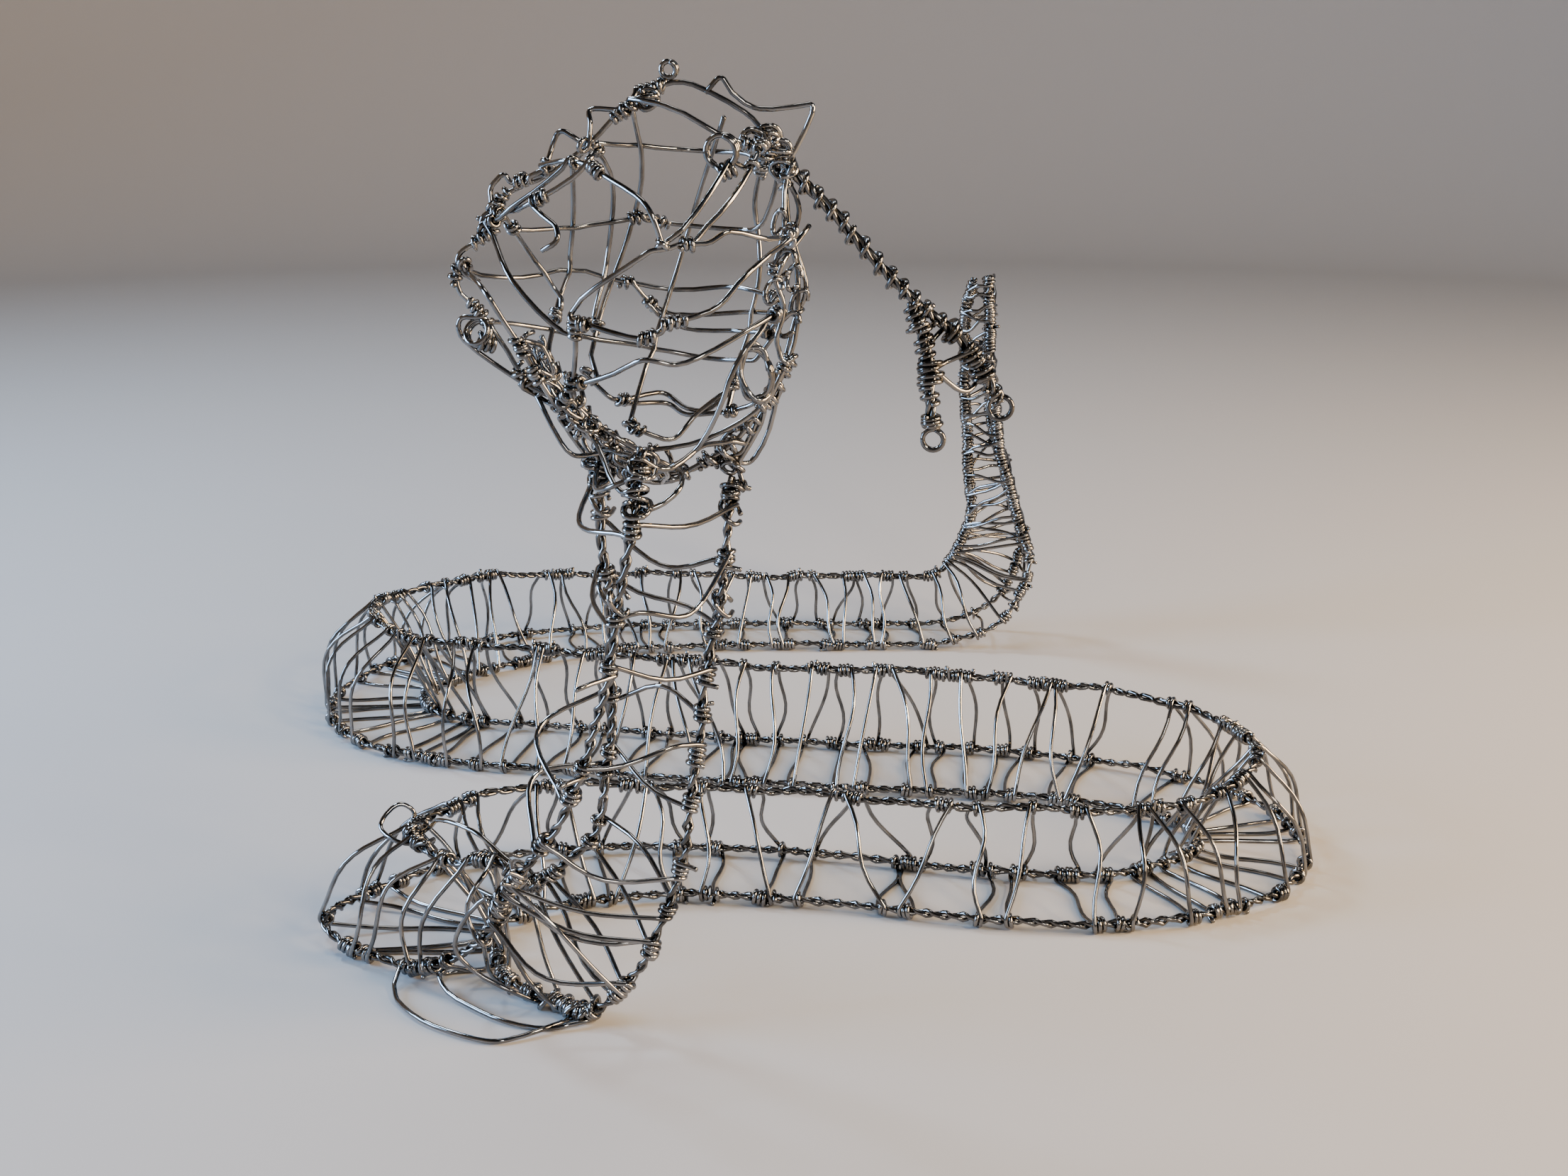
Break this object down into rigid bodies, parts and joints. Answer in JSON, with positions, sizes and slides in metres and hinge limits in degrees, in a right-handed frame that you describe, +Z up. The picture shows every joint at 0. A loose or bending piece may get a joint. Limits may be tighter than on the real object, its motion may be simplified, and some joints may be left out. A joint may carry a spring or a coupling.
{
  "type": "wire snake sculpture",
  "caption": "Openwork snake bent from bright steel wire, lying in curves with a raised cage head, a forked tongue hanging out and an upright tail.",
  "frame": {"origin": "middle of the object's bounding box, on the surface that it stands on", "axes": "+Z up, +X to the right along the body's runs, +Y from the raised head at the front to the tail at the back"},
  "size_m": [0.281, 0.3026, 0.1984],
  "materials": {
    "twisted_strand": "pairs of bright steel wire twisted together, glossy with dark gaps between the turns",
    "cross_wire": "bright drawn steel wire with fine lengthwise draw marks and small bends"
  },
  "bodies": {
    "root": {"strand_top": "twisted_strand", "strand_left": "twisted_strand", "strand_right": "twisted_strand", "tail_hoop_1": "cross_wire", "tail_hoop_2": "cross_wire", "tail_hoop_3": "cross_wire", "tail_hoop_4": "cross_wire", "tail_hoop_5": "cross_wire", "tail_hoop_6": "cross_wire", "body_hoop_1": "cross_wire", "body_hoop_2": "cross_wire", "body_hoop_3": "cross_wire", "body_hoop_4": "cross_wire", "body_hoop_5": "cross_wire", "body_hoop_6": "cross_wire", "body_hoop_7": "cross_wire", "body_hoop_8": "cross_wire", "body_hoop_9": "cross_wire", "body_hoop_10": "cross_wire", "body_hoop_11": "cross_wire", "body_hoop_12": "cross_wire", "body_hoop_13": "cross_wire", "body_hoop_14": "cross_wire", "body_hoop_15": "cross_wire", "body_hoop_16": "cross_wire", "body_hoop_17": "cross_wire", "body_hoop_18": "cross_wire", "body_hoop_19": "cross_wire", "body_hoop_20": "cross_wire", "body_hoop_21": "cross_wire", "body_hoop_22": "cross_wire", "body_hoop_23": "cross_wire", "body_hoop_24": "cross_wire", "body_hoop_25": "cross_wire", "neck_hoop_1": "cross_wire", "neck_hoop_2": "cross_wire", "neck_hoop_3": "cross_wire", "neck_hoop_4": "cross_wire", "neck_hoop_5": "cross_wire", "head_jaw_wire": "cross_wire", "head_nape_wire": "cross_wire", "head_crown_wire": "cross_wire", "head_face_wire": "cross_wire", "head_nose_spike": "cross_wire", "head_crown_wire_near": "cross_wire", "head_brow_wire_near": "cross_wire", "head_cheek_wire_near": "cross_wire", "head_throat_wire_near": "cross_wire", "head_chin_wire_near": "cross_wire", "head_upright_wire_near": "cross_wire", "head_crown_wire_far": "cross_wire", "head_brow_wire_far": "cross_wire", "head_cheek_wire_far": "cross_wire", "head_throat_wire_far": "cross_wire", "head_upright_wire_far": "cross_wire", "head_crown_ring": "cross_wire", "head_nostril_ring": "cross_wire", "forked_tongue": "twisted_strand"}
  },
  "joints": []
}
